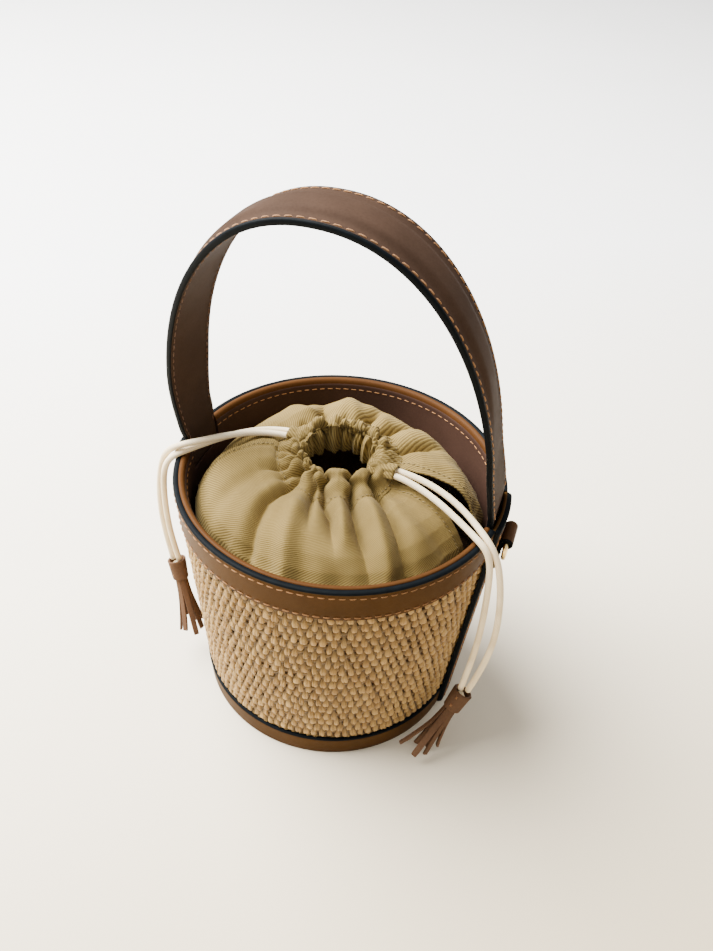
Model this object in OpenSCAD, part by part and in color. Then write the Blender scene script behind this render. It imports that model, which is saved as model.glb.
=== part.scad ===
// Bucket bag: woven raffia wall, leather bands and arched handle, drawstring pouch.
// Millimetres, +Z up, X across the handle, front towards -Y, origin in the middle of the base.

/* [Body] */
// Height of the body from the floor to the rim
body_h = 154; // [130:1:180]
// Outer diameter of the rim
rim_d = 180; // [160:1:200]
// Outer diameter of the base
base_d = 156; // [146:1:166]
// Height of the leather band under the rim
top_band_h = 21; // [19:1:28]
// Height of the leather band round the base
base_band_h = 14.6; // [10:0.2:20]
// Depth of the leather facing inside the rim
facing_h = 40; // [32:1:50]

/* [Walls] */
// Thickness of the band leather
band_t = 1.8; // [1.4:0.1:2]
// Thickness of the woven raffia wall under the bands
weave_t = 2; // [1.6:0.1:2.4]
// How far the raffia lies back from the face of the bands
weave_inset = 0.8; // [0.4:0.1:1.2]
// Thickness of the stiff board that keeps the body round
board_t = 1.2; // [0.8:0.1:1.4]
// Thickness of the facing leather
facing_t = 1.6; // [1.2:0.1:2]
// Thickness of the lining cloth
lining_t = 0.8; // [0.5:0.1:1]

/* [Handle] */
// Width of the handle strap
strap_w = 31.2; // [26:0.2:32]
// Height of the handle arch over the rim
arch_h = 161.5; // [130:0.5:190]
// Thickness of the outer leather of the strap
cover_t = 1.6; // [1.2:0.1:2]
// Thickness of the inner leather of the strap
strap_lining_t = 1.5; // [1.2:0.1:2]
// Height of the padded ridge along the middle of the strap
ridge_h = 2.6; // [2:0.1:4]
// Width of the padded ridge
ridge_w = 18; // [14:0.5:20]
// How far the handle leans to the front
handle_lean = 12.8; // [8:0.1:16]

/* [Fittings] */
// Thickness of the leather strips down the sides
side_strip_t = 2.6; // [2:0.1:3]
// Radius of the wire of the strap rings
wire_r = 1.3; // [1:0.05:1.4]
// Width of the leather tabs that hold the strap rings
tab_w = 16; // [12:0.5:18]

/* [Drawstring] */
// Diameter of the drawstring cord
cord_d = 3.5; // [3:0.1:3.6]
// Radius of the drawn-in mouth of the pouch
mouth_r = 13; // [11:0.5:14]
// Outer radius of the gathered channel round the mouth
channel_r = 29; // [28.5:0.1:29.5]
// Length of each tassel, cap and fringe together
tassel_l = 50; // [40:1:50]

/* [Hidden] */
$fn = 96;
eps = 1;

// Leather, cloth and metal colours
TAN = [0.47, 0.32, 0.2];
DARK_TAN = [0.3, 0.2, 0.15];
STRAW = [0.84, 0.71, 0.5];
KHAKI = [0.62, 0.54, 0.36];
BOARD = [0.55, 0.5, 0.42];
NAVY = [0.12, 0.14, 0.18];
CREAM = [0.93, 0.9, 0.82];
BRASS = [0.83, 0.66, 0.3];

// The wall is a cone: radius of its outer face at a height, and its lean from the vertical
base_r = base_d / 2;
rim_r = rim_d / 2;
wall_slope = (rim_r - base_r) / body_h;
wall_lean = atan(wall_slope);
function wall_r(z) = base_r + wall_slope * z;

// Depths of the layers, measured inwards from the outer face
weave_in = band_t + weave_t;
board_in = weave_in + board_t;
facing_in = board_in + facing_t;
lining_in = board_in + lining_t;
strap_t = cover_t + strap_lining_t;
strap_out = facing_in - strap_t;
lip_in = facing_in + 0.4;

// Heights in the body
base_leather_t = 1.5;
base_board_top = 4;
base_lining_top = base_board_top + lining_t;
band_z = body_h - top_band_h;
facing_z = body_h - facing_h;
lip_h = 2.5;
weave_tuck = 5;

// Handle pivot line: just over the rim, where the strap bends
pivot_z = body_h + 1;
pivot_gap = 0.3;
strap_side_gap = 0.6;
foot_cut_front = 32;
foot_cut_back = 52;
arch_power = 2.2;
arch_half = rim_r - strap_out;
arch_steps = 60;
ridge_from = 28;
core_from = 32;
core_w = ridge_w - 4;
core_low = -0.2;
core_high = 1.6;

// Side strips and strap rings
side_strip_w = strap_w + 1.8;
side_strip_bottom = 1;
side_strip_top = body_h - 0.5;
ring_x = rim_r + 5;
ring_z = body_h - 15;
ring_leg_y = tab_w / 2 + 0.4 + wire_r;
ring_leg_h = 4;
ring_run = 0.06;
tab_r = 3.5;
tab_leather_t = 2;
tab_tail = 20;

// Pouch: a shallow crown whose highest ring is between the rim and the mouth
crown_z = body_h + 4;
crown_r = 44;
crown_fall = 15;
crown_run = 38;
crown_from = 20;
crown_to = rim_r - 9.5;
cloth_t = 1.5;
skirt_z = facing_z - 2;
skirt_turn_z = body_h - 17;
mouth_x = -3;
mouth_y = 3;
channel_low = body_h - 1.5;
channel_high = body_h + 12.5;
channel_round = 4;
function crown_height(r) = crown_z - crown_fall * pow((r - crown_r) / crown_run, 2);

// Pockets in the channel where the cords come out
cord_z = body_h + 8;
pocket_d = 12;
pocket_w = 8.3;
pocket_h = 4.3;
pocket_right_y = -1;
pocket_left_y = 8.6;

// Routes of the four cord strands, from the channel to the tassels
CORD_LEFT_OUTER = [[-21, 6.5, 162], [-33, 6.5, 162], [-43, 4.5, 162.3], [-52.5, 0.5, 162.6],
    [-61.5, -5.5, 162.8], [-69.5, -12, 162.8], [-77, -18.5, 162.6], [-83.5, -22.8, 161.7],
    [-89, -24.3, 158.8], [-93.2, -24.3, 154], [-96.3, -23.8, 147], [-98.8, -23.2, 138],
    [-100.8, -22.6, 127], [-102, -22, 115], [-102.4, -21.5, 103], [-102, -21, 91],
    [-100.8, -20.7, 79], [-99.1, -20.5, 65.5]];
CORD_LEFT_INNER = [[-21, 10.7, 162], [-33, 10.7, 162], [-43, 9.3, 161.4], [-52.5, 5.5, 160.6],
    [-61, 0, 159.8], [-69, -6.8, 158.8], [-76, -14, 157.8], [-81.5, -20.5, 157],
    [-86, -25.5, 156.3], [-89.5, -28, 153.5], [-92, -28.8, 147.5], [-93.6, -28.8, 139],
    [-94.8, -28, 128], [-95.6, -27, 116], [-96, -25.8, 104], [-96, -24.5, 92],
    [-95.5, -22.8, 80], [-94.9, -20.5, 65.5]];
CORD_RIGHT_OUTER = [[15, 1, 162], [27, 1, 162], [37, 0, 162.1], [47, -2.2, 161.8],
    [56.5, -5.5, 161.2], [65.5, -10.3, 160.4], [73.5, -16, 159.5], [80.5, -22.3, 158.5],
    [86.3, -27.2, 157], [91, -30.6, 153.6], [94.4, -32.6, 148], [97, -34, 139.5],
    [99.2, -35, 129], [100.7, -35.8, 117], [101.5, -36.4, 104.5], [101.3, -37, 91.5],
    [99.8, -37.5, 78.5], [97.4, -37.8, 64], [94.3, -38, 49.8]];
CORD_RIGHT_INNER = [[15, -3, 162], [27, -3, 162], [37, -5, 161.9], [47, -8.5, 161.4],
    [56.5, -13, 160.6], [65.5, -18.5, 159.6], [74, -24, 158.5], [81, -28.8, 157.3],
    [86, -31.8, 156], [89.3, -33.7, 152], [91, -34.8, 146], [92, -35.6, 137],
    [92.8, -36.2, 126], [93.3, -36.7, 114], [93.5, -37.1, 102], [93.3, -37.4, 90],
    [92.6, -37.7, 77], [91.5, -37.9, 63.5], [90.1, -38, 49.8]];
CORD_SIDES = 8;

// Tassels: middle of the mouth of each cap, and where the fringe points
TASSEL_LEFT_TOP = [-97, -20.5, 65.5];
TASSEL_LEFT_TO = [16.5, -12.5, -51.5];
TASSEL_RIGHT_TOP = [91.9, -38, 48];
TASSEL_RIGHT_TO = [-17.4, -19, -42];
cap_r = 5.7;
cap_waist_r = 4.7;
cap_h = 13;
cap_bore_r = 4.1;
cap_mouth_depth = 5;
knot_r = 2.8;
fringe_n = 7;
fringe_w = 3;
fringe_t = 1.3;
fringe_ring_r = 3;
fringe_splay = 4;

// ---- Shared shapes ----

// A layer of the wall between two depths and two heights
module wall_layer(out, in, z0, z1) {
    translate([0, 0, z0])
    difference() {
        cylinder(h = z1 - z0, r1 = wall_r(z0) - out, r2 = wall_r(z1) - out);
        translate([0, 0, -eps])
        cylinder(h = z1 - z0 + 2 * eps, r1 = wall_r(z0 - eps) - in, r2 = wall_r(z1 + eps) - in);
    }
}

// A box that keeps the front half (side = -1) or the back half (side = 1)
module half_space(side) {
    translate([-rim_d, side > 0 ? 0 : -rim_d, -eps])
    cube([2 * rim_d, rim_d, 2 * body_h]);
}

// A box over one flank (side = -1 left, 1 right), as wide as w along Y
module flank(side, w, z0 = -eps, z1 = body_h + 20) {
    translate([side > 0 ? 0 : -rim_d, -w / 2, z0])
    cube([rim_d, w, z1 - z0]);
}

// The notches that the ends of the handle pass through
module handle_notches() {
    for (side = [-1, 1])
        flank(side, strap_w + 2 * strap_side_gap, body_h - top_band_h + weave_tuck);
}

// ---- Base ----

module base_leather() {
    color(TAN)
    cylinder(h = base_leather_t, r = base_r - band_t);
}

module base_board() {
    color(BOARD)
    translate([0, 0, base_leather_t])
    cylinder(h = base_board_top - base_leather_t, r = wall_r(base_leather_t) - board_in);
}

module base_band() {
    color(TAN)
    wall_layer(0, band_t, 0, base_band_h);
}

module base_lining() {
    color(NAVY)
    translate([0, 0, base_board_top])
    cylinder(h = lining_t, r = wall_r(base_board_top) - lining_in);
}

// ---- Wall ----

// Half of the raffia wall, with its edges tucked under both bands
module raffia(side) {
    color(STRAW)
    intersection() {
        union() {
            wall_layer(weave_inset, weave_in, base_band_h, band_z);
            wall_layer(band_t, weave_in, base_leather_t, band_z + weave_tuck);
        }
        half_space(side);
    }
}

module raffia_front() {
    raffia(-1);
}

module raffia_back() {
    raffia(1);
}

module stiffener() {
    color(BOARD)
    difference() {
        wall_layer(weave_in, board_in, base_leather_t, body_h - lip_h);
        handle_notches();
    }
}

module body_lining() {
    color(NAVY)
    wall_layer(board_in, lining_in, base_board_top, facing_z);
}

module top_band(side) {
    color(TAN)
    intersection() {
        wall_layer(0, band_t, band_z, body_h);
        half_space(side);
    }
}

module top_band_front() {
    top_band(-1);
}

module top_band_back() {
    top_band(1);
}

module rim_reinforcement() {
    color(NAVY)
    difference() {
        wall_layer(band_t, weave_in, band_z + weave_tuck, body_h);
        handle_notches();
    }
}

// Facing with its rolled lip over the board
module rim_facing() {
    color(DARK_TAN)
    difference() {
        union() {
            wall_layer(board_in, facing_in, facing_z, body_h - lip_h);
            wall_layer(weave_in, lip_in, body_h - lip_h, body_h);
        }
        handle_notches();
    }
}

module side_strip(side) {
    color(TAN)
    intersection() {
        wall_layer(-side_strip_t, 0, side_strip_bottom, side_strip_top);
        flank(side, side_strip_w);
    }
}

module side_strip_left() {
    side_strip(-1);
}

module side_strip_right() {
    side_strip(1);
}

// ---- Handle ----

// The end of the strap, sewn between the band and the facing
module handle_end(side) {
    color(TAN)
    intersection() {
        wall_layer(band_t, facing_in, band_z + weave_tuck, pivot_z - pivot_gap);
        flank(side, strap_w);
    }
}

module handle_end_left() {
    handle_end(-1);
}

module handle_end_right() {
    handle_end(1);
}

// The arch is a superellipse; off is measured outwards, square to it
function arch_point(t, off) =
    let (x = arch_half * sign(cos(t)) * pow(abs(cos(t)), 2 / arch_power),
         z = arch_h * pow(sin(t), 2 / arch_power),
         nx = sign(cos(t)) * pow(abs(x) / arch_half, arch_power - 1) / arch_half,
         nz = pow(z / arch_h, arch_power - 1) / arch_h,
         n = sqrt(nx * nx + nz * nz))
    [x + off * nx / n, z + off * nz / n];

// Keeps what is within w of each other along Y, about a plane that leans forward
module leaning_slab(w) {
    rotate([handle_lean, 0, 0])
    cube([3 * rim_d, w * cos(handle_lean), 3 * arch_h], center = true);
}

// A band of the arch between two offsets, over the angles from t0 to 180 - t0
module arch_band(low, high, w, t0 = 0) {
    step = (180 - 2 * t0) / arch_steps;
    intersection() {
        rotate([90, 0, 0])
        linear_extrude(arch_h, center = true)
        polygon(concat([for (i = [0:arch_steps]) arch_point(t0 + i * step, high)],
                       [for (i = [arch_steps:-1:0]) arch_point(t0 + i * step, low)]));
        leaning_slab(w);
    }
}

// Wedge cut from the feet of the arch, so that it can lean both ways over the rim
module foot_cut() {
    w = strap_w;
    rotate([90, 0, 90])
    linear_extrude(3 * rim_d, center = true)
    polygon([[0, 0], [w, w * tan(foot_cut_back)], [w, -10], [-w, -10],
             [-w, w * tan(foot_cut_front)]]);
}

module on_pivot() {
    translate([0, 0, pivot_z])
    children();
}

module handle_cover() {
    color(TAN)
    on_pivot()
    difference() {
        union() {
            arch_band(-cover_t, 0, strap_w);
            arch_band(-cover_t / 2, ridge_h, ridge_w, ridge_from);
        }
        arch_band(core_low, core_high, core_w, core_from);
        foot_cut();
    }
}

module handle_core() {
    color(BOARD)
    on_pivot()
    arch_band(core_low, core_high, core_w, core_from);
}

module handle_lining() {
    color(DARK_TAN)
    on_pivot()
    difference() {
        arch_band(-strap_t, -cover_t, strap_w);
        foot_cut();
    }
}

// ---- Strap rings ----

// Leather folded round the bar of the ring, with its tail down the side strip
module strap_tab() {
    color(TAN)
    translate([ring_x, 0, ring_z])
    rotate([0, wall_lean, 0])
    difference() {
        union() {
            rotate([90, 0, 0])
            cylinder(h = tab_w, r = tab_r, center = true);
            translate([-tab_r, -tab_w / 2, -tab_tail])
            cube([tab_leather_t, tab_w, tab_tail]);
        }
        rotate([90, 0, 0])
        cylinder(h = tab_w + 2 * eps, r = wire_r + ring_run, center = true);
    }
}

module strap_tab_left() {
    mirror([1, 0, 0])
    strap_tab();
}

module strap_tab_right() {
    strap_tab();
}

// A D-shaped ring that hangs from its straight bar
module strap_ring() {
    color(BRASS)
    translate([ring_x, 0, ring_z]) {
        rotate([90, 0, 0])
        cylinder(h = 2 * ring_leg_y, r = wire_r, center = true);
        for (side = [-1, 1])
            translate([0, side * ring_leg_y, 0]) {
                sphere(r = wire_r);
                translate([0, 0, -ring_leg_h])
                cylinder(h = ring_leg_h, r = wire_r);
            }
        translate([0, 0, -ring_leg_h])
        rotate([0, 90, 0])
        rotate([0, 0, -90])
        rotate_extrude(angle = 180)
        translate([ring_leg_y, 0])
        circle(r = wire_r, $fn = 32);
    }
}

module strap_ring_left() {
    mirror([1, 0, 0])
    strap_ring();
}

module strap_ring_right() {
    strap_ring();
}

// ---- Pouch ----

// The cloth of the closed pouch before it is split into its two panels
module pouch_crown() {
    crown_step = (crown_to - crown_from) / 16;
    top = [for (i = [0:16]) let (r = crown_from + i * crown_step) [r, crown_height(r)]];
    skirt = [[wall_r(skirt_turn_z) - facing_in, skirt_turn_z],
             [wall_r(skirt_z) - facing_in, skirt_z]];
    skirt_inside = [for (i = [1, 0]) skirt[i] - [cloth_t, 0]];
    inside = [for (i = [16:-1:0]) let (r = crown_from + i * crown_step)
              [r - cloth_t * i / 16, crown_height(r) - cloth_t]];
    difference() {
        rotate_extrude()
        polygon(concat(top, skirt, skirt_inside, inside));
        translate([mouth_x, mouth_y, 0])
        cylinder(h = 2 * body_h, r = channel_r);
    }
}

// Plan of the front panel: its edge falls back from the cords and leaves a slit at each side
module front_plan() {
    polygon([[-90, -19], [-62, -15], [-34, -5.5], [-24, -0.2], [24, -0.2], [34, -5.5], [62, -15],
             [90, -19], [90, -95], [-90, -95]]);
}

module back_plan() {
    polygon([[-90, -16.5], [-62, -6], [-34, 2.5], [-24, 0.2], [24, 0.2], [34, -0.5], [62, -6],
             [90, -16.5], [90, 95], [-90, 95]]);
}

module pouch_front() {
    color(KHAKI)
    intersection() {
        pouch_crown();
        linear_extrude(2 * body_h)
        front_plan();
    }
}

module pouch_back() {
    color(KHAKI)
    intersection() {
        pouch_crown();
        linear_extrude(2 * body_h)
        back_plan();
    }
}

// Pocket for a pair of cords; side is -1 left, 1 right
module cord_pocket(side, y) {
    translate([mouth_x + side * (channel_r - pocket_d / 2 + 5), y, cord_z])
    cube([pocket_d + 10, pocket_w, pocket_h], center = true);
}

// The gathered channel that the cords run in
module pouch_channel() {
    color(KHAKI)
    difference() {
        translate([mouth_x, mouth_y, 0])
        rotate_extrude()
        polygon(concat([[mouth_r, channel_low], [channel_r, channel_low]],
                       [for (a = [0:15:90]) [channel_r - channel_round * (1 - cos(a)),
                                             channel_high - channel_round * (1 - sin(a))]],
                       [for (a = [90:15:180]) [mouth_r + channel_round * (1 + cos(a)),
                                               channel_high - channel_round * (1 - sin(a))]]));
        cord_pocket(1, pocket_right_y);
        cord_pocket(-1, pocket_left_y);
    }
}

// ---- Drawstring ----

function unit(v) = v / norm(v);

// A round tube along a route: one ring of points square to the route at each of its points
module cord(route) {
    last = len(route) - 1;
    rings = [for (i = [0:last])
        let (t = unit(route[min(i + 1, last)] - route[max(i - 1, 0)]),
             u = unit(cross([0, 1, 0], t)),
             v = cross(t, u))
        for (k = [0:CORD_SIDES - 1])
            let (a = 360 * k / CORD_SIDES)
            route[i] + cord_d / 2 * (u * cos(a) + v * sin(a))];
    sides = [for (i = [0:last - 1], k = [0:CORD_SIDES - 1])
        let (next = (k + 1) % CORD_SIDES)
        [i * CORD_SIDES + k, (i + 1) * CORD_SIDES + k,
         (i + 1) * CORD_SIDES + next, i * CORD_SIDES + next]];
    start_cap = [for (k = [0:CORD_SIDES - 1]) k];
    end_cap = [for (k = [CORD_SIDES - 1:-1:0]) last * CORD_SIDES + k];
    color(CREAM)
    polyhedron(rings, concat([start_cap, end_cap], sides));
}

module cord_left_outer() {
    cord(CORD_LEFT_OUTER);
}

module cord_left_inner() {
    cord(CORD_LEFT_INNER);
}

module cord_right_outer() {
    cord(CORD_RIGHT_OUTER);
}

module cord_right_inner() {
    cord(CORD_RIGHT_INNER);
}

// Sets a piece of a tassel in its place, hanging from top and pointing along to
module hang(top, to) {
    tilt = acos(-to[2] / norm(to));
    turn = atan2(to[1], to[0]);
    translate(top)
    rotate([0, 0, turn])
    rotate([0, -tilt, 0])
    children();
}

// A rolled leather cap, open at both ends
module tassel_cap() {
    color(TAN)
    difference() {
        translate([0, 0, -cap_h])
        cylinder(h = cap_h, r1 = cap_waist_r, r2 = cap_r);
        translate([0, 0, -cap_h - eps])
        cylinder(h = cap_h + 2 * eps, r = cap_bore_r);
    }
}

// The knotted ends of the two cords, sitting on the roll of the fringe
module tassel_knot() {
    color(CREAM)
    translate([0, 0, -cap_mouth_depth + knot_r * 0.4]) {
        sphere(r = knot_r);
        translate([0, 0, -knot_r * 1.4])
        cylinder(h = knot_r * 1.4, r = knot_r * 0.7);
    }
}

// One piece of leather rolled up inside the cap, and cut into strips below it
module tassel_fringe() {
    color(TAN)
    union() {
        translate([0, 0, -cap_h - eps])
        cylinder(h = cap_h + eps - cap_mouth_depth - knot_r, r = cap_bore_r);
        for (i = [0:fringe_n - 1])
            rotate([0, 0, 360 * i / fringe_n])
            translate([fringe_ring_r, 0, -cap_h])
            rotate([0, -fringe_splay, 0])
            translate([-fringe_t / 2, -fringe_w / 2, -(tassel_l - cap_h)])
            cube([fringe_t, fringe_w, tassel_l - cap_h]);
    }
}

module tassel_left_cap() {
    hang(TASSEL_LEFT_TOP, TASSEL_LEFT_TO)
    tassel_cap();
}

module tassel_left_knot() {
    hang(TASSEL_LEFT_TOP, TASSEL_LEFT_TO)
    tassel_knot();
}

module tassel_left_fringe() {
    hang(TASSEL_LEFT_TOP, TASSEL_LEFT_TO)
    tassel_fringe();
}

module tassel_right_cap() {
    hang(TASSEL_RIGHT_TOP, TASSEL_RIGHT_TO)
    tassel_cap();
}

module tassel_right_knot() {
    hang(TASSEL_RIGHT_TOP, TASSEL_RIGHT_TO)
    tassel_knot();
}

module tassel_right_fringe() {
    hang(TASSEL_RIGHT_TOP, TASSEL_RIGHT_TO)
    tassel_fringe();
}

base_leather();
base_board();
base_band();
base_lining();
raffia_front();
raffia_back();
stiffener();
body_lining();
top_band_front();
top_band_back();
rim_reinforcement();
rim_facing();
side_strip_left();
side_strip_right();
handle_end_left();
handle_end_right();
handle_cover();
handle_core();
handle_lining();
strap_tab_left();
strap_tab_right();
strap_ring_left();
strap_ring_right();
pouch_front();
pouch_back();
pouch_channel();
cord_left_outer();
cord_left_inner();
cord_right_outer();
cord_right_inner();
tassel_left_cap();
tassel_left_knot();
tassel_left_fringe();
tassel_right_cap();
tassel_right_knot();
tassel_right_fringe();
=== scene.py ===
import bpy
import math
import numpy as np
from mathutils import Vector, Matrix


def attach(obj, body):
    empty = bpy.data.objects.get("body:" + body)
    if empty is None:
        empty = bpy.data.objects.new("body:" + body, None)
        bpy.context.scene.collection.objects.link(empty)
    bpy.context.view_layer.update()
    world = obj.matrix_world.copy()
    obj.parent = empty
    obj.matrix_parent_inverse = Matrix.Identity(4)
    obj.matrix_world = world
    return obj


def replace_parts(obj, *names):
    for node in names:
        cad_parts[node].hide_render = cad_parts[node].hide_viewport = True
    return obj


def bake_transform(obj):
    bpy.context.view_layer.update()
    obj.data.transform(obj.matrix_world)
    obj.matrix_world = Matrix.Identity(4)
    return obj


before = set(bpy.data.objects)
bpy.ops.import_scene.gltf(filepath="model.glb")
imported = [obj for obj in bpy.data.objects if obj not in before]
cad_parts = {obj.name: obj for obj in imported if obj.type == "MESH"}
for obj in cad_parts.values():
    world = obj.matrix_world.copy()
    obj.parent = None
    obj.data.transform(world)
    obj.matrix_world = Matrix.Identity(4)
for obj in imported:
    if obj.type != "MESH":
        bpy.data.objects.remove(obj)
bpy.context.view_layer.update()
rng = np.random.default_rng(7)
MM = 0.001


def show(name, data):
    o = bpy.data.objects.new(name, data)
    bpy.context.scene.collection.objects.link(o)
    return o


# ---- camera
LENS, SENSOR = 32.17666, 36
ROLL = math.radians(-3.27)
CAM_POS = Vector((105.6, -335.3, 452.4))
AIM = Vector((0, 0, 77.13))
# where the aim lies off the middle of the view, against the depth
OFF_AXIS = Vector((-0.024, -0.1063529, 1)).normalized()
fwd = (AIM - CAM_POS).normalized()
right = fwd.cross(Vector((0, 0, 1))).normalized()
up = right.cross(fwd).normalized()
view = Vector((0, 0, 1)).rotation_difference(OFF_AXIS).to_matrix()
view = view @ Matrix.Rotation(ROLL, 3, "Z") @ Matrix((right, up, fwd))
cam = show("camera", bpy.data.cameras.new("camera"))
rot = Matrix((view[0], view[1], -view[2])).transposed()
cam.matrix_world = Matrix.Translation(CAM_POS * MM) @ rot.to_4x4()
cam.data.sensor_fit = "AUTO"
cam.data.sensor_width = SENSOR
cam.data.lens = LENS
cam.data.clip_start = 0.01
bpy.context.scene.camera = cam

# ---- sizes, mm
H, TOP_BAND, BASE_BAND = 154.0, 21.0, 14.6
FOOT_R, RIM_R = 78, 90
SLOPE = (RIM_R - FOOT_R) / H
FACING_IN = 6.5
STRAP_W, STRAP_T = 31.2, 3.1
# seams: the pitch of the stitches, and the strap's seam off its middle
PITCH, STRAP_SEAM = 4.9, 13.1
# the padded ridge: its height, its start and end along the strap from either foot, and its fade
RIDGE, PAD_START, PAD_END, PAD_FADE = 2.1, 84, 78, 44
RING_X, RING_Z = 95.0, 139.0
CORD_D = 3.5
# width of one rib of the lining and of the pouch's twill
LINING_RIB, TWILL_RIB = 1.6, 1.5
TWILL_TURN = math.radians(44)
SIDES = {-1: "left", 1: "right"}
PIVOT_Z, LEAN = 155.0, math.radians(12.8)
ARCH_A, ARCH_H, ARCH_N = 86.6, 166.0, 2.15


def wall(z):
    """Outer radius of the wall at a height."""
    return FOOT_R + SLOPE * z


def inner(z):
    """Radius of the facing's inner side at a height."""
    return wall(z) - FACING_IN


def smooth(x):
    x = np.clip(x, 0, 1)
    return x * x * (3 - 2 * x)


def spoke(a):
    """Unit vector outwards at an angle in radians."""
    return np.array([math.cos(a), math.sin(a), 0])


# ---- materials
def shader(name, rough, sockets=()):
    m = bpy.data.materials.new(name)
    m.use_nodes = True
    nt = m.node_tree
    b = nt.nodes["Principled BSDF"]
    for k, v in {"Roughness": rough, **dict(sockets)}.items():
        b.inputs[k].default_value = v
    return m, nt, b


def link(a, b):
    a.id_data.links.new(a, b)


def node(nt, kind, **sockets):
    n = nt.nodes.new("ShaderNode" + kind)
    for k, v in sockets.items():
        n.inputs[k].default_value = v
    return n


def coords(nt, kind="Object", scale=(1, 1, 1)):
    t = node(nt, "TexCoord")
    mp = node(nt, "Mapping")
    mp.inputs["Scale"].default_value = scale
    link(t.outputs[kind], mp.inputs["Vector"])
    return mp.outputs["Vector"]


def colour(b, out):
    link(out, b.inputs["Base Color"])


def noise_tex(nt, vec, scale, detail=4.0, rough=0.5):
    n = node(nt, "TexNoise", Scale=scale, Detail=detail, Roughness=rough)
    link(vec, n.inputs["Vector"])
    return n.outputs["Fac"]


def ramp(nt, fac, stops):
    r = node(nt, "ValToRGB")
    els = r.color_ramp.elements
    while len(els) < len(stops):
        els.new(0.5)
    for e, (p, c) in zip(els, stops):
        e.position = p
        e.color = (*c, 1)
    link(fac, r.inputs["Fac"])
    return r.outputs["Color"]


def bump(nt, b, height, strength, dist, below=None):
    n = node(nt, "Bump", Strength=strength, Distance=dist)
    link(height, n.inputs["Height"])
    if below is not None:
        link(below, n.inputs["Normal"])
    link(n.outputs["Normal"], b.inputs["Normal"])
    return n.outputs["Normal"]


def mix(nt, fac, a, b, mode="MIX"):
    n = node(nt, "Mix")
    n.data_type = "RGBA"
    n.blend_type = mode
    if isinstance(fac, float):
        n.inputs[0].default_value = fac
    else:
        link(fac, n.inputs[0])
    for sock, v in ((n.inputs[6], a), (n.inputs[7], b)):
        if isinstance(v, tuple):
            sock.default_value = (*v, 1)
        else:
            link(v, sock)
    return n.outputs[2]


def times(c, k):
    return tuple(x * k for x in c)


def roughness(nt, b, fac, lo, hi):
    n = node(nt, "MapRange", **{"To Min": lo, "To Max": hi})
    link(fac, n.inputs["Value"])
    link(n.outputs["Result"], b.inputs["Roughness"])


def leather(name, c, rough=0.42, spread=0.16, grain=1.0, spec=0.06):
    m, nt, b = shader(name, rough, {"Specular IOR Level": spec})
    v = coords(nt)
    lo, hi = times(c, 1 - spread), times(c, 1 + spread)
    base = ramp(nt, noise_tex(nt, v, 26, 5, 0.6), [(0.3, lo), (0.7, hi)])
    fine = ramp(nt, noise_tex(nt, v, 900, 3, 0.7), [(0.25, (0.80, 0.78, 0.76)), (0.6, (1, 1, 1))])
    colour(b, mix(nt, 0.8, base, fine, "MULTIPLY"))
    roughness(nt, b, noise_tex(nt, v, 70, 4), rough - 0.06, rough + 0.1)
    cells = node(nt, "TexVoronoi", Scale=1500)
    cells.feature = "DISTANCE_TO_EDGE"
    link(v, cells.inputs["Vector"])
    n1 = bump(nt, b, cells.outputs["Distance"], 0.22 * grain, 0.00012)
    bump(nt, b, noise_tex(nt, v, 120, 4, 0.6), 0.16 * grain, 0.0005, n1)
    return m


def paint(name, c, rough):
    m, nt, b = shader(name, rough, {"Specular IOR Level": 0.05})
    v = coords(nt)
    base = ramp(nt, noise_tex(nt, v, 180, 4), [(0.3, times(c, 0.75)), (0.75, times(c, 1.5))])
    colour(b, base)
    bump(nt, b, noise_tex(nt, v, 260, 3), 0.25, 0.0004)
    return m


def thread(name, c):
    m, nt, b = shader(name, 0.7)
    uv = coords(nt, "UV")
    w = node(nt, "TexWave", Scale=1.2, Distortion=0.3)
    w.bands_direction = "DIAGONAL"
    link(uv, w.inputs["Vector"])
    colour(b, ramp(nt, w.outputs["Fac"], [(0, times(c, 0.6)), (0.7, c)]))
    bump(nt, b, w.outputs["Fac"], 0.5, 0.0002)
    return m


def cotton(name, c, shade, contrast=1.0):
    """Twill: the UV's x counts ribs, and its y runs along them in the same unit."""
    m, nt, b = shader(name, 0.82, {"Sheen Weight": 0.04, "Specular IOR Level": 0.16})
    uv = coords(nt, "UV")
    v = coords(nt)
    w = node(nt, "TexWave", Scale=0.31416, Distortion=0.12, Detail=1.0)
    w.inputs["Detail Scale"].default_value = 1.5
    link(uv, w.inputs["Vector"])
    yarn = noise_tex(nt, coords(nt, "UV", (6, 0.7, 1)), 1.0, 3, 0.6)
    base = ramp(nt, noise_tex(nt, v, 22, 4), [(0.3, shade), (0.7, c)])
    rib = ramp(nt, w.outputs["Fac"], [(0.08, (0.42, 0.38, 0.31)), (0.6, (1, 1, 1))])
    col = mix(nt, 0.85 * contrast, base, rib, "MULTIPLY")
    col = mix(nt, 0.5, col, ramp(nt, yarn, [(0.25, (0.72, 0.70, 0.66)), (0.7, (1, 1, 1))]), "MULTIPLY")
    colour(b, col)
    n1 = bump(nt, b, w.outputs["Fac"], 0.45 * contrast, 0.00028)
    bump(nt, b, yarn, 0.3, 0.0003, n1)
    return m


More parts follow.
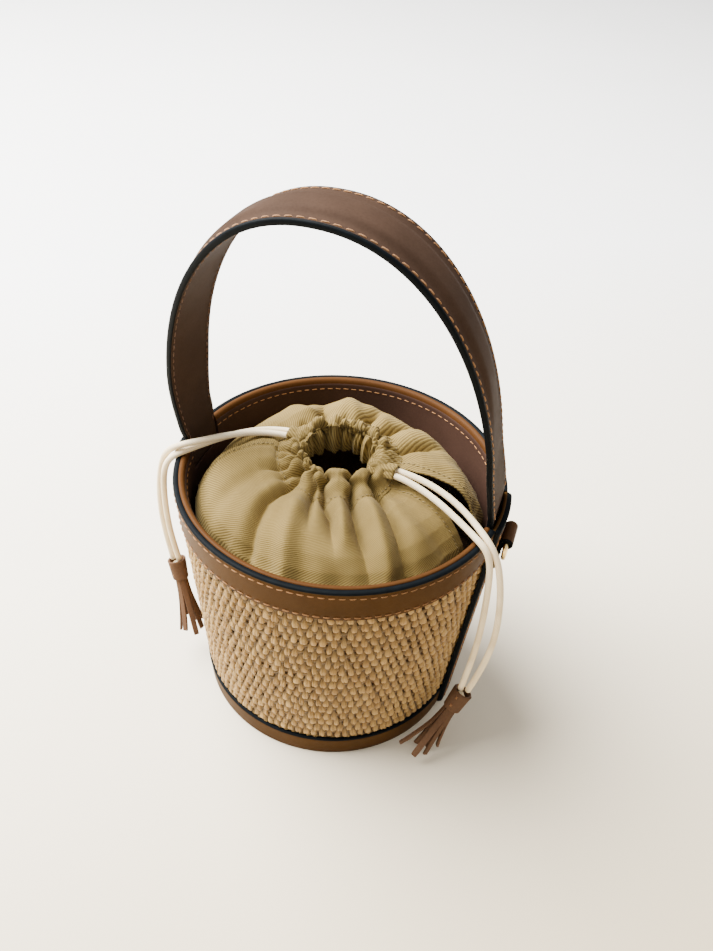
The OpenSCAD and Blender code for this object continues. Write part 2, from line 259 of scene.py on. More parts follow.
M_BAND = leather("leather_band", (0.057, 0.0250, 0.0050), 0.52, spec=0.04)
M_HANDLE = leather("leather_handle", (0.0415, 0.0248, 0.0172), 0.66, spec=0.02)
M_TRIM = leather("leather_trim", (0.054, 0.0225, 0.007), 0.52)
M_FACING = leather("leather_facing", (0.039, 0.0205, 0.0148), 0.58)
M_LIP = leather("leather_lip", (0.058, 0.0225, 0.0055), 0.55)
M_TASSEL = leather("leather_tassel", (0.100, 0.053, 0.029), 0.6, 0.22)
M_NAVY = paint("edge_paint_navy", (0.0016, 0.0027, 0.0038), 0.62)
M_THREAD = thread("thread_tan", (0.34, 0.155, 0.05))
M_THREAD_DARK = thread("thread_brown", (0.11, 0.048, 0.022))
M_THREAD_KHAKI = thread("thread_khaki", (0.26, 0.185, 0.07))
M_KHAKI = cotton("cotton_khaki", (0.240, 0.168, 0.050), (0.188, 0.129, 0.036))
M_LINING = cotton("cotton_brown", (0.15, 0.085, 0.045), (0.10, 0.055, 0.028), 0.6)


def raffia_material():
    m, nt, b = shader("raffia", 0.62, {"Sheen Weight": 0.1})
    # the vertex colours hold each stitch's random tone together with its painted shade
    a = node(nt, "VertexColor")
    a.layer_name = "tone_and_shade"
    uv = coords(nt, "UV", (22, 1.4, 1))
    streak = noise_tex(nt, uv, 1.0, 4, 0.7)
    dull = ramp(nt, streak, [(0.30, (0.56, 0.47, 0.34)), (0.58, (1, 1, 1))])
    colour(b, mix(nt, 0.85, a.outputs["Color"], dull, "MULTIPLY"))
    bump(nt, b, streak, 0.9, 0.0009)
    return m


M_RAFFIA = raffia_material()


def brass_material():
    m, nt, b = shader("brass_polished", 0.2, {"Metallic": 1})
    v = coords(nt)
    base = ramp(nt, noise_tex(nt, v, 160, 3), [(0.3, (0.80, 0.58, 0.24)), (0.7, (0.92, 0.72, 0.36))])
    colour(b, base)
    roughness(nt, b, noise_tex(nt, v, 420, 4), 0.14, 0.34)
    return m


M_BRASS = brass_material()


def cord_material():
    soft = {"Subsurface Weight": 0.15, "Subsurface Radius": (0.002, 0.0015, 0.001)}
    m, nt, b = shader("cord_cotton", 0.7, soft)
    v = coords(nt)
    w = node(nt, "TexWave", Scale=300, Distortion=1.5, Detail=2.0)
    w.bands_direction = "DIAGONAL"
    link(v, w.inputs["Vector"])
    base = ramp(nt, noise_tex(nt, v, 60, 3), [(0.3, (0.72, 0.58, 0.36)), (0.7, (0.90, 0.76, 0.52))])
    lay = ramp(nt, w.outputs["Fac"], [(0, (0.8, 0.77, 0.7)), (0.5, (1, 1, 1))])
    colour(b, mix(nt, 0.25, base, lay, "MULTIPLY"))
    bump(nt, b, w.outputs["Fac"], 0.25, 0.0002)
    return m


M_CORD = cord_material()


# ---- mesh helpers
def make(name, verts, faces, mats, body="bag", mat_ids=None, uvs=None, tone_and_shade=None):
    """A mesh from points in mm. uvs is one pair a vertex, tone one colour a vertex."""
    me = bpy.data.meshes.new(name)
    me.from_pydata((np.asarray(verts, float) * MM).tolist(), [], faces)
    for m in mats if isinstance(mats, (list, tuple)) else [mats]:
        me.materials.append(m)
    if mat_ids is not None:
        me.polygons.foreach_set("material_index", mat_ids)
    me.polygons.foreach_set("use_smooth", [True] * len(me.polygons))
    if uvs is not None or tone_and_shade is not None:
        li = np.zeros(len(me.loops), np.int32)
        me.loops.foreach_get("vertex_index", li)
    if uvs is not None:
        layer = me.uv_layers.new(name="uv")
        layer.data.foreach_set("uv", np.asarray(uvs, float)[li].ravel())
    if tone_and_shade is not None:
        layer = me.color_attributes.new("tone_and_shade", "FLOAT_COLOR", "POINT")
        layer.data.foreach_set("color", np.asarray(tone_and_shade, float).ravel())
    o = show(name, me)
    if body:
        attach(o, body)
    return o


def grid_faces(nu, nv, close_u=False, base=0, flip=False, close_v=False):
    """Quads of a grid stored row by row: nv rows of nu points."""
    out = []
    for j in range(nv if close_v else nv - 1):
        row, above = base + j * nu, base + (j + 1) % nv * nu
        for i in range(nu if close_u else nu - 1):
            k = (i + 1) % nu
            q = (row + i, row + k, above + k, above + i)
            out.append(q[::-1] if flip else q)
    return out


def caps(k, m, base=0, flip=False):
    """The two end faces of m closed rows of k points."""
    for start in (tuple(range(k)), tuple((m - 1) * k + j for j in reversed(range(k)))):
        face = tuple(base + j for j in start)
        yield face[::-1] if flip else face


def flat(*parts):
    """Arrays that broadcast to one shape, as rows of points."""
    return np.stack(np.broadcast_arrays(*parts), -1).reshape(-1, len(parts))


def thicken(o, t):
    md = o.modifiers.new("thickness", "SOLIDIFY")
    md.thickness = t * MM
    md.offset = -1
    return o


def wire(name, kind, pts, radius, rounds):
    """A bevelled curve through points in mm."""
    cu = bpy.data.curves.new(name, "CURVE")
    cu.dimensions = "3D"
    cu.bevel_depth = radius * MM
    cu.bevel_resolution = rounds
    sp = cu.splines.new(kind)
    sp.points.add(len(pts) - 1)
    for q, p in zip(sp.points, pts):
        q.co = (*(c * MM for c in p), 1)
    return cu, sp


def revolve(name, profile, mats, ids=None, span=None, seg=240, uv=False):
    """Turns a closed profile of (r, z) about Z. span is (first, last) angle in degrees."""
    full = span is None
    a0, a1 = (0, 360) if full else span
    n = max(8, int(seg * (a1 - a0) / 360))
    ang = np.radians(np.linspace(a0, a1, n + (0 if full else 1), endpoint=not full))
    p = np.asarray(profile, float)
    k = len(p)
    v = flat(p[:, 0] * np.cos(ang)[:, None], p[:, 0] * np.sin(ang)[:, None], p[:, 1])
    faces, mid = [], []
    m = len(ang)
    for i in range(m if full else m - 1):
        for j in range(k):
            a, b = i * k + j, i * k + (j + 1) % k
            c, e = ((i + 1) % m) * k + (j + 1) % k, ((i + 1) % m) * k + j
            faces.append((a, e, c, b))
            mid.append(ids[j] if ids else 0)
    if not full:
        faces += caps(k, m)
        mid += [ids[0] if ids else 0] * 2
    uvs = None
    if uv:
        arc = np.concatenate([[0], np.cumsum(np.linalg.norm(np.diff(p, axis=0), axis=1))])
        turn = (ang * 80)[:, None]
        uvs = flat(turn + arc, arc - turn) / LINING_RIB
    o = make(name, v, faces, mats, mat_ids=mid, uvs=uvs)
    o.data.set_sharp_from_angle(angle=math.radians(50))
    return o


def stitches(name, points, normals, tangents, length, width, mat, body="bag", sink=0.25, slant=0.0):
    """Short sewn threads: one rounded sausage at each point, its ends dipping into the leather."""
    ts = np.linspace(-1, 1, 7)
    rad = np.sqrt(np.clip(1 - np.abs(ts) ** 4, 0.02, 1)) * width / 2
    ang = np.radians(np.arange(0, 360, 60))
    verts, faces, uvs = [], [], []
    for p, n, t in zip(np.asarray(points, float), np.asarray(normals, float), np.asarray(tangents, float)):
        n = n / np.linalg.norm(n)
        t = t - n * np.dot(t, n)
        t = t / np.linalg.norm(t)
        s = np.cross(n, t)
        a = slant + rng.normal(0, 0.05)
        t, s = t * math.cos(a) + s * math.sin(a), s * math.cos(a) - t * math.sin(a)
        base = len(verts)
        ll = length * rng.uniform(0.94, 1.04) / 2
        for x, r in zip(ts, rad):
            c = p + t * x * ll + n * (width / 2 - sink - (0.55 * width) * abs(x) ** 5)
            for q in ang:
                verts.append(c + (n * math.cos(q) + s * math.sin(q)) * r)
                uvs.append((x * ll * 3, q))
        faces += grid_faces(6, 7, True, base)
        faces += caps(6, 7, base, True)
    return make(name, verts, faces, mat, body, uvs=uvs)


def ring_stitches(name, r, z, pitch, span=None, inward=False, width=0.75, slant=0.0):
    """A seam of tan thread round the bag, or over a span (first, last) in degrees."""
    n = int(round(2 * math.pi * r / pitch))
    pts, nor, tan = [], [], []
    for i in range(n):
        a = 2 * math.pi * i / n
        if span and not span[0] <= math.degrees(a) <= span[1]:
            continue
        e = spoke(a)
        pts.append((*(e[:2] * r), z))
        nor.append(-e if inward else e)
        tan.append(spoke(a + math.pi / 2))
    stitches(name, pts, nor, tan, pitch * 0.8, width, M_THREAD, slant=slant)


# ---- cords first
ROUTES = {
    "cord_left_outer": [(-23, 6.5, 162), (-33, 6.5, 162), (-43, 4.5, 162.3), (-52.5, 0.5, 162.6),
        (-61.5, -5.5, 162.8), (-69.5, -12, 162.8), (-77, -18.5, 162.6), (-83.5, -22.8, 161.7),
        (-89, -24.3, 158.8), (-93.2, -24.3, 154), (-96.3, -23.8, 147), (-98.8, -23.2, 138),
        (-100.8, -22.6, 127), (-102, -22, 115), (-102.4, -21.5, 103), (-102, -21, 91), (-100.8, -20.7, 79),
        (-99.1, -20.5, 65.5)],
    "cord_left_inner": [(-23, 10.7, 162), (-33, 10.7, 162), (-43, 9.3, 161.4), (-52.5, 5.5, 160.6),
        (-61, 0, 159.8), (-69, -6.8, 158.8), (-76, -14, 157.8), (-81.5, -20.5, 157), (-86, -25.5, 156.3),
        (-89.5, -28, 153.5), (-92, -28.8, 147.5), (-93.6, -28.8, 139), (-94.8, -28, 128), (-95.6, -27, 116),
        (-96, -25.8, 104), (-96, -24.5, 92), (-95.5, -22.8, 80), (-94.9, -20.5, 65.5)],
    "cord_right_outer": [(21, 1.2, 161.5), (27, 1, 162), (37, 0, 162.1), (47, -2.2, 161.8),
        (56.5, -5.5, 161.2), (65.5, -10.3, 160.4), (73.5, -16, 159.5), (80.5, -22.3, 158.5),
        (86.3, -27.2, 157), (91, -30.6, 153.6), (94.4, -32.6, 148), (97, -34, 139.5), (99.2, -35, 129),
        (100.7, -35.8, 117), (101.5, -36.4, 104.5), (101.3, -37, 91.5), (99.8, -37.5, 78.5),
        (97.4, -37.8, 64), (94.3, -38, 49.8)],
    "cord_right_inner": [(21, -2.3, 161.5), (27, -3, 162), (37, -5, 161.9), (47, -8.5, 161.4),
        (56.5, -13, 160.6), (65.5, -18.5, 159.6), (74, -24, 158.5), (81, -28.8, 157.3), (86, -31.8, 156),
        (89.3, -33.7, 152), (91, -34.8, 146), (92, -35.6, 137), (92.8, -36.2, 126), (93.3, -36.7, 114),
        (93.5, -37.1, 102), (93.3, -37.4, 90), (92.6, -37.7, 77), (91.5, -37.9, 63.5), (90.1, -38, 49.8)],
}
cords = {}
for cname, pts in ROUTES.items():
    cu, sp = wire(cname + "_line", "NURBS", pts, CORD_D / 2, 5)
    cu.resolution_u = 6
    cu.use_fill_caps = True
    sp.order_u = 4
    sp.use_endpoint_u = True
    cu.materials.append(M_CORD)
    o = show(cname + "_run", cu)
    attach(o, "bag")
    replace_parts(o, cname)
    cords[cname] = o


# ---- base
def rounded(r0, r1, z0, z1):
    """Closed outline of a band section from inner r0 to outer r1, leaning with the wall."""
    c = 0.6

    def ro(z):
        return r1 + SLOPE * (z - z0)

    def ri(z):
        return r0 + SLOPE * (z - z0)

    out = [(ri(z0) + c, z0), (ro(z0) - c, z0), (ro(z0) - c * 0.3, z0 + c * 0.3), (ro(z0 + c), z0 + c)]
    out += [(ro(z), z) for z in np.linspace(z0 + c, z1 - c, 6)[1:-1]]
    out += [(ro(z1 - c), z1 - c), (ro(z1) - c * 0.3, z1 - c * 0.3), (ro(z1) - c, z1), (ri(z1) + c, z1)]
    out += [(ri(z1 - c), z1 - c), (ri(z0 + c), z0 + c)]
    return out


sole = [(0.01, 0), (74.5, 0), (75.9, 0.5), (76.1, 1.5), (0.01, 1.5)]
o = revolve("base_sole", sole, M_TRIM)
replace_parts(o, "base_leather")
prof = rounded(76.3, 78, 0.02, BASE_BAND)
ids = [int(z > BASE_BAND - 0.8) for r, z in prof]
o = revolve("foot_band", prof, [M_BAND, M_NAVY], ids)
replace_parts(o, "base_band")
lo, mid, hi = wall(13.9), wall(14.6), wall(14.9)
prof = [(lo + 0.12, 13.9), (mid + 0.12, 14.7), (hi - 0.5, 15.3), (hi - 1.9, 15.2), (lo - 1.6, 13.9)]
revolve("foot_edge", prof, M_NAVY)
cloth_disc = [(0.01, 4.2), (72.4, 4.2), (72.8, 4.8), (71.8, 5.1), (0.01, 4.9)]
o = revolve("floor_lining", cloth_disc, M_LINING, uv=True)
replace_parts(o, "base_lining", "base_board")


# ---- raffia wall
def blunt(b, start, length, power, low):
    """1 up to start, then a rounded fall."""
    return np.clip(1 - ((b - start) / length).clip(0) ** power, low, 1) ** 0.6


def raffia_wall():
    rows, cols = 18, 108
    z_top, z_bot = H - TOP_BAND + 1.2, BASE_BAND + 2.2
    pitch = (z_top - z_bot) / rows
    # a runs across a stitch, b down it
    across_n, down_n = 9, 12
    a = np.linspace(-1, 1, across_n)[None, :]
    b = np.linspace(0, 1, down_n)[:, None]
    verts, faces, uvs, tones_and_shade = [], [], [], []
    quad = grid_faces(across_n, down_n)
    straw = np.array((0.415, 0.243, 0.060))
    pale = np.array((0.56, 0.355, 0.112))
    warm = np.array((0.335, 0.178, 0.042))
    for r in range(rows + 1):
        zt = z_top - r * pitch + 1.6
        drift = rng.normal(0, 0.0035)
        for c in range(cols):
            ang = 2 * math.pi * (c + 0.5 * (r % 2)) / cols + drift + rng.normal(0, 0.0035)
            long = 7.9 * rng.uniform(0.9, 1.08)
            half = (1.86 if r else 1.7) * rng.uniform(0.80, 1.12)
            lean = rng.normal(0.03, 0.11)
            high = 1.35 * rng.uniform(0.8, 1.12)
            foot = rng.uniform(2.6, 5.0)
            taper = (0.52 + 0.48 * smooth(b / 0.72)) * blunt(b, 0.72, 0.29, foot, 0.03)
            across = a * half * taper + lean * (b - 0.4) * long * 0.5
            env = (0.35 + 0.65 * smooth(b / 0.6)) * blunt(b, 0.78, 0.23, 3, 0)
            dome = np.clip(1 - np.abs(a) ** 3.2, 0, 1) ** 0.5
            crease = 0.0
            if rng.uniform() < 0.75:
                at = rng.uniform(-0.5, 0.5)
                crease = 0.5 * np.exp(-(((a - at) / 0.17) ** 2)) * smooth(b * 2.5)
            tilt = rng.normal(0, 0.18) * a
            rad = -3.0 + 1.75 * smooth(b / 0.75) + (high * dome * env) * (1 - crease) + tilt * env
            z = zt - b * long
            rr = wall(z) - 0.55 + rad
            th = ang + across / rr
            base = len(verts)
            P = flat(rr * np.cos(th), rr * np.sin(th), z)
            P[:, 2] = np.clip(P[:, 2], BASE_BAND - 0.6, None)
            verts.extend(P.tolist())
            faces += [tuple(base + i for i in q) for q in quad]
            k = rng.uniform()
            col = straw * (1 - abs(k - 0.5)) + (pale if k > 0.5 else warm) * abs(k - 0.5)
            col = col * rng.uniform(0.90, 1.06)
            # painted shade: each stitch is darkened towards its top, where it tucks under the row above,
            # and towards its sides; col is its own random straw tone
            shade = (0.36 + 0.64 * smooth((b - 0.05) / 0.5)) * (1 - 0.35 * np.abs(a) ** 4)
            tones_and_shade.extend(flat(*(v * shade for v in col), 1.0).tolist())
            seed = rng.uniform(0, 50)
            uvs.extend(flat(a * 0.12 + seed, b + seed).tolist())
    # cross strands that the stitches are worked over
    n, k = 432, 6
    t = np.linspace(0, 2 * math.pi, n, endpoint=False)
    q = np.linspace(0, 2 * math.pi, k, endpoint=False)[:, None]
    for r in range(rows + 1):
        zc = z_top - r * pitch - 2.4
        sway = 0.35 * np.sin(t * cols + r * math.pi) + 0.2 * np.sin(t * 61 + r)
        rr = wall(zc) - 2.9 + sway + 1.05 * np.cos(q)
        # painted shade: the cross strands lying between the stitches are darkened to about half the straw
        # colour, with a slow uneven tone along them
        shade = (0.62 + 0.12 * np.sin(t * 37 + r * 2.3)) * 0.75 * np.ones_like(q)
        faces += grid_faces(n, k, True, len(verts), close_v=True)
        verts.extend(flat(rr * np.cos(t), rr * np.sin(t), zc + 1.5 * np.sin(q)).tolist())
        tones_and_shade.extend(flat(*(v * shade for v in straw), 1.0).tolist())
        uvs.extend(flat(q * 0.1, t * 12).tolist())
    return make("raffia_weave", verts, faces, M_RAFFIA, uvs=uvs, tone_and_shade=tones_and_shade)


o = raffia_wall()
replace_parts(o, "raffia_front", "raffia_back")
m_back, nt, b = shader("raffia_backing", 0.9)
fleck = noise_tex(nt, coords(nt), 400, 3)
colour(b, ramp(nt, fleck, [(0.3, (0.09, 0.046, 0.015)), (0.7, (0.19, 0.104, 0.038))]))
prof = [(wall(z) - d, z) for z, d in ((3, 4.4), (3, 3.6), (140, 3.6), (140, 4.4))]
o = revolve("raffia_backing", prof, m_back)
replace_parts(o, "stiffener")

# ---- bands and rim
zb = H - TOP_BAND
prof = rounded(wall(zb) - 1.8, wall(zb), zb, H - 0.2)
o = revolve("top_band", prof, M_BAND)
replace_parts(o, "top_band_front", "top_band_back")
ring_stitches("top_band_stitches_low", wall(zb + 2.3), zb + 2.3, 5.0, slant=0.03)
ring_stitches("top_band_stitches_high", wall(H - 3.6), H - 3.6, 5.0, slant=0.03)
# the rim's arcs run between the two feet of the handle, degrees
GAP = math.degrees(math.asin(16.0 / 88))
RIM_EDGE = [(88.3, 151), (89.98, 152.9), (90.08, 153.6), (89.7, 154.15), (88.7, 154.4), (87.6, 154.35),
            (87.15, 154.0), (87.1, 151)]
LIP = [(87.1, 150.6), (87.12, 154.1), (86.7, 154.6), (85.9, 154.7), (85.0, 154.45), (84.3, 153.8),
       (83.9, 152.6), (83.7, 150.6)]
FACING = [(1.5, 151.6), (0.2, 151.6), (0, 151.2), (0, 150.4), (0, 145), (0, 138.5), (0, 137.9),
          (0.1, 137.9),
          (1.5, 137.9)]
FACING = [(inner(z) + d, z) for d, z in FACING]
ARCS = {"back": (GAP, 180 - GAP), "front": (180 + GAP, 360 - GAP)}
for side, span in ARCS.items():
    o = revolve("rim_paint_" + side, RIM_EDGE, M_NAVY, span=span)
    if side == "back":
        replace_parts(o, "rim_reinforcement")
    revolve("rim_lip_" + side, LIP, M_LIP, span=span)
    revolve("facing_" + side, FACING, M_FACING, span=span)
    ring_stitches("facing_stitches_" + side, inner(148.4), 148.4, PITCH, span, True, 0.6)
prof = [(1.5, 138), (0.1, 138), (0.024, 137.95), (0.02, 137.2), (0, 126), (0, 115), (0, 114.2), (0.2, 114),
        (1.5, 114)]
o = revolve("facing_low", [(inner(z) + d, z) for d, z in prof], M_FACING)
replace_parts(o, "rim_facing")


# lining: a shell with slack pleats
def lining():
    nu, nv = 220, 30
    th = np.linspace(0, 2 * math.pi, nu, endpoint=False)[None, :]
    z = np.linspace(5.0, 116.0, nv)[:, None]
    slack = 0.5 * np.sin(th * 9 + z * 0.03) + 0.35 * np.sin(th * 23 - z * 0.05)
    slack = slack + 0.3 * np.sin(th * 4 + z * 0.08)
    rr = inner(z) + slack * 0.5
    v = flat(rr * np.cos(th), rr * np.sin(th), z)
    uv = flat(th * 70 + z, z - th * 70) / LINING_RIB
    return make("body_cloth", v, grid_faces(nu, nv, True, flip=True), M_LINING, uvs=uv)


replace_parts(lining(), "body_lining")


# ---- side strips
def side_strip(side):
    """A strip on the flank, from the foot to the rim, with painted edges."""
    name = SIDES[side]
    w, t, zb_, zt_ = 16.5, 2.6, 1.0, 153.5
    prof = [(-w, -0.1), (-w - 0.1, 1.2), (-w + 0.25, 2.2), (-w + 1.0, t)]
    prof += [(y, t + 0.12 * math.cos(y / w * math.pi / 2)) for y in np.linspace(-w + 2.2, w - 2.2, 9)]
    prof += [(w - 1.0, t), (w - 0.25, 2.2), (w + 0.1, 1.2), (w, -0.1)]
    k = len(prof)
    zs = [zb_, zb_ + 0.3, zb_ + 1.0] + list(np.linspace(4, 150, 40)) + [zt_ - 1.0, zt_ - 0.3, zt_]
    inset = [0.8, 0.2, 0] + [0] * 40 + [0, 0.3, 1.0]
    m = len(zs)
    verts = []
    for z, ins in zip(zs, inset):
        for y, n in prof:
            rr = wall(z) + max(n - ins, -0.1)
            verts.append((side * math.sqrt(rr * rr - y * y), y, z))
    faces = grid_faces(k, m, flip=side < 0)
    mid = [int(i < 3 or i >= k - 4 or j < 2 or j >= m - 4) for j in range(m - 1) for i in range(k - 1)]
    faces += caps(k, m, flip=side > 0)
    mid += [1, 1]
    o = make("side_strip_skin_" + name, verts, faces, [M_TRIM, M_NAVY], mat_ids=mid)
    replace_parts(o, "side_strip_" + name)
    pts, nor, tan = [], [], []
    for z in np.arange(6, 149, PITCH):
        for y in (-13.3, 13.3):
            x = math.sqrt((wall(z) + t) ** 2 - y * y)
            pts.append((side * x, y, z))
            nor.append((side * x, y, 0))
            tan.append((side * SLOPE, 0, 1))
    stitches("side_strip_stitches_" + name, pts, nor, tan, 3.9, 0.75, M_THREAD)


side_strip(-1)
side_strip(1)


# ---- handle strap
def arch(t):
    x = ARCH_A * np.sign(np.cos(t)) * np.abs(np.cos(t)) ** (2 / ARCH_N)
    s = ARCH_H * np.abs(np.sin(t)) ** (2 / ARCH_N)
    return x, s


def strap_frames():
    """Points along the strap from its left end in the wall, over the arch, to the right end."""
    tt = np.radians(np.concatenate([[180 - 0.02, 179.6], np.linspace(178.9, 1.1, 150), [0.4, 0.02]]))
    x, s = arch(tt)
    lower = np.arange(-16.5, -0.4, 2.2)
    lx = wall(PIVOT_Z + lower) - (wall(PIVOT_Z) - ARCH_A)
    X = np.concatenate([-lx, x, lx[::-1]])
    S = np.concatenate([lower, s, lower[::-1]])
    d = np.stack([np.gradient(X), np.gradient(S)], -1)
    d /= np.linalg.norm(d, axis=1)[:, None]
    nrm = np.stack([-d[:, 1], d[:, 0]], -1)
    arc = np.concatenate([[0], np.cumsum(np.hypot(np.diff(X), np.diff(S)))])
    return X, S, nrm, arc


SX, SS, SN, SARC = strap_frames()
PAD = smooth((SARC - PAD_START) / PAD_FADE) * smooth((SARC[-1] - PAD_END - SARC) / PAD_FADE)


def bend(x, s, nx, ns, y, off):
    """From the arch to the bag's frame: it leans forward, and its back edge turns inwards above the rim."""
    x, s, nx, ns, y, off = np.broadcast_arrays(x, s, nx, ns, y, off)
    th = LEAN * smooth(s / 16)
    tau = np.radians(9 - 4.5 * x / ARCH_A) * smooth(s / 60)
    x = x - 3.2 * smooth(s / 45) * np.clip(x / ARCH_A, 0, 1) ** 2
    zero = np.zeros_like(th)
    w0 = np.stack([zero, np.cos(th), np.sin(th)], -1)
    n = np.stack([nx, -ns * np.sin(th), ns * np.cos(th)], -1)
    c = np.stack([x, -s * np.sin(th), PIVOT_Z + s * np.cos(th)], -1)
    ct, st, y, off = (v[..., None] for v in (np.cos(tau), np.sin(tau), y, off))
    return c + y * (ct * w0 - st * n) + off * (st * w0 + ct * n)


def strap():
    w = STRAP_W / 2
    ys = [-w + 1.3, -w + 2.2, -13.2, -12.6, -11.4, -10.2, -9.2, -8.2, -7.0, -5.4, -3.6, -1.8, 0]
    ys = ys + [-y for y in ys[-2::-1]]
    outer = []
    for y in ys:
        ridge = smooth((9.8 - abs(y + 0.9)) / 4.2) * (0.88 + 0.12 * math.cos((y + 0.9) / 9 * math.pi / 2))
        groove = -0.22 * math.exp(-(((abs(y) - STRAP_SEAM) / 0.45) ** 2))
        groove -= 0.15 * math.exp(-(((abs(y) - 10.6) / 0.5) ** 2))
        outer.append((y, groove, ridge))
    t = STRAP_T
    front = [(w - 0.55, -0.12, 0), (w - 0.1, -0.5, 0), (w + 0.02, -1.1, 0), (w, -t + 0.9, 0),
             (w - 0.2, -t + 0.35, 0), (w - 0.7, -t, 0)]
    inside = [(y, -t, 0) for y in np.linspace(w - 1.6, -w + 1.6, 9)]
    back = [(-y, n, r) for y, n, r in front[::-1]]
    prof = outer + front + inside + back
    k = len(prof)
    n_out = len(outer)
    y, n, ridge = np.array(prof).T
    off = n + RIDGE * ridge * PAD[:, None]
    v = bend(SX[:, None], SS[:, None], SN[:, 0:1], SN[:, 1:2], y, off)
    m = len(SX)
    faces = grid_faces(k, m, True, flip=True)
    mid = [0 if j < n_out - 1 else 1 if j < n_out + 5 or j >= k - 6 else 2 for j in range(k)] * (m - 1)
    faces += caps(k, m)
    mid += [1, 1]
    mats = [M_HANDLE, M_NAVY, M_HANDLE]
    return make("handle_strap", v.reshape(-1, 3), faces, mats, None, mid)


handle = strap()
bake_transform(handle)
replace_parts(handle, "handle_cover", "handle_core", "handle_lining", "handle_end_left", "handle_end_right")


def at_arc(a, y, off):
    x, s, nx, ns = (np.interp(a, SARC, v) for v in (SX, SS, SN[:, 0], SN[:, 1]))
    return bend(x, s, nx, ns, y, off)


def strap_stitches(name, y, off, e, lo, mat, width):
    """A seam along the strap at y, off mm from its outer face; e steps away from the leather."""
    a = np.arange(lo, SARC[-1] - lo, PITCH)
    pts = at_arc(a, y, off)
    nor, tan = at_arc(a, y, off + e) - pts, at_arc(a + 0.05, y, off) - pts
    o = stitches(name, pts, nor, tan, 4.0, width, mat, body=None, slant=0.04)
    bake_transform(o)


SEAMS = (("front", STRAP_SEAM), ("back", -STRAP_SEAM))
for nm, y in SEAMS:
    strap_stitches("handle_stitches_" + nm, y, -0.12, 0.02, 20, M_THREAD, 0.8)
for nm, y in SEAMS:
    strap_stitches("handle_stitches_inner_" + nm, y, -STRAP_T, -0.02, 17, M_THREAD_DARK, 0.7)


# ---- strap tabs and rings
def tab(side):
    """A leather loop round the ring's bar, with a tail sewn to the side strip."""
    name = SIDES[side]
    r, t, tail, w = 3.5, 2.0, 20.0, 8.0
    lean = math.atan(SLOPE)
    out = [(-r, -tail), (-r + t - 0.4, -tail), (-r + t, -tail + 0.5), (-r + t, -4.4), (-r + t + 0.25, -3.6)]
    out += [(r * math.cos(a), r * math.sin(a)) for a in np.radians(np.linspace(-118, 172, 26))]
    out += [(-r, -1.0)]
    k = len(out)
    edge = [(w - 0.7, 0), (w - 0.2, 0.15), (w, 0.45)]
    rows = [(-y, ins) for y, ins in edge[::-1]] + [(y, 0) for y in np.linspace(-w + 1.6, w - 1.6, 7)] + edge
    verts = []
    pts2 = np.array(out)
    d2 = np.roll(pts2, -1, 0) - np.roll(pts2, 1, 0)
    d2 /= np.linalg.norm(d2, axis=1)[:, None]
    n2 = np.stack([d2[:, 1], -d2[:, 0]], -1)
    for y, ins in rows:
        for (x, z), nn in zip(pts2, n2):
            x2, z2 = x - nn[0] * ins, z - nn[1] * ins
            xr = x2 * math.cos(lean) + z2 * math.sin(lean)
            zr = -x2 * math.sin(lean) + z2 * math.cos(lean)
            verts.append((side * (RING_X + xr), y, RING_Z + zr))
    m = len(rows)
    faces = grid_faces(k, m, True, flip=side < 0)
    mid = [int(j < 2 or j >= m - 3) for j in range(m - 1) for i in range(k)]
    faces += caps(k, m, flip=side < 0)
    mid += [1, 1]
    o = make("tab_skin_" + name, verts, faces, [M_TRIM, M_NAVY], mat_ids=mid)
    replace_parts(o, "strap_tab_" + name)
    seam_z = -9.0
    x = side * (RING_X - r + t + SLOPE * seam_z)
    pts = [(x, y, RING_Z + seam_z) for y in np.arange(-5.6, 5.7, 2.8)]
    n = len(pts)
    stitches("tab_stitches_" + name, pts, [(side, 0, 0)] * n, [(0, 1, 0)] * n, 2.3, 0.6, M_THREAD)


def ring(side):
    """A D of round wire: its bar in the tab, its bow hanging below."""
    name = SIDES[side]
    y0, c, drop = 9.7, 1.2, -4
    pts = [(0, y) for y in np.linspace(-y0 + c, y0 - c, 9)]
    pts += [(c * math.cos(a) - c, y0 - c + c * math.sin(a)) for a in np.radians((30, 60, 90))]
    pts += [(drop, y0)]
    pts += [(drop - y0 * math.sin(a), y0 * math.cos(a)) for a in np.radians(np.linspace(6, 174, 29))]
    pts += [(drop, -y0)]
    pts += [(c * math.cos(a) - c, -y0 + c - c * math.sin(a)) for a in np.radians((90, 60, 30))]
    cu, sp = wire("ring_line_" + name, "POLY", [(side * RING_X, y, RING_Z + z) for z, y in pts], 1.3, 6)
    sp.use_cyclic_u = True
    tmp = show("ring_tmp", cu)
    me = bpy.data.meshes.new_from_object(tmp.evaluated_get(bpy.context.evaluated_depsgraph_get()))
    bpy.data.objects.remove(tmp)
    o = show("d_ring_" + name, me)
    me.materials.clear()
    me.materials.append(M_BRASS)
    me.polygons.foreach_set("use_smooth", [True] * len(me.polygons))
    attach(o, "strap_ring_" + name)
    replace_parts(o, "strap_ring_" + name)


for side in (-1, 1):
    tab(side)
    ring(side)

# ---- pouch
# mouth centre and the run of the cloth: (share, radius, height) from the throat to the skirt
MOUTH = np.array([-3.0, 3.0])
RUN = np.array([(0.00, 14.6, 152.0), (0.04, 14.4, 156.3), (0.08, 14.8, 159.8), (0.12, 16.2, 162.8),
                (0.16, 18.8, 164.6), (0.20, 22.0, 164.8), (0.24, 25.6, 162.9), (0.285, 29.6, 159.4),
                (0.33, 33.6, 157.2), (0.38, 38.5, 158.4), (0.44, 44.5, 159.3), (0.50, 50.0, 158.7),
                (0.60, 59.0, 156.4), (0.68, 66.0, 152.9), (0.76, 72.2, 148.0), (0.83, 76.8, 142.0),
                (0.89, 79.8, 134.5), (0.94, 80.6, 127.0), (1.00, 79.8, 112.5)])
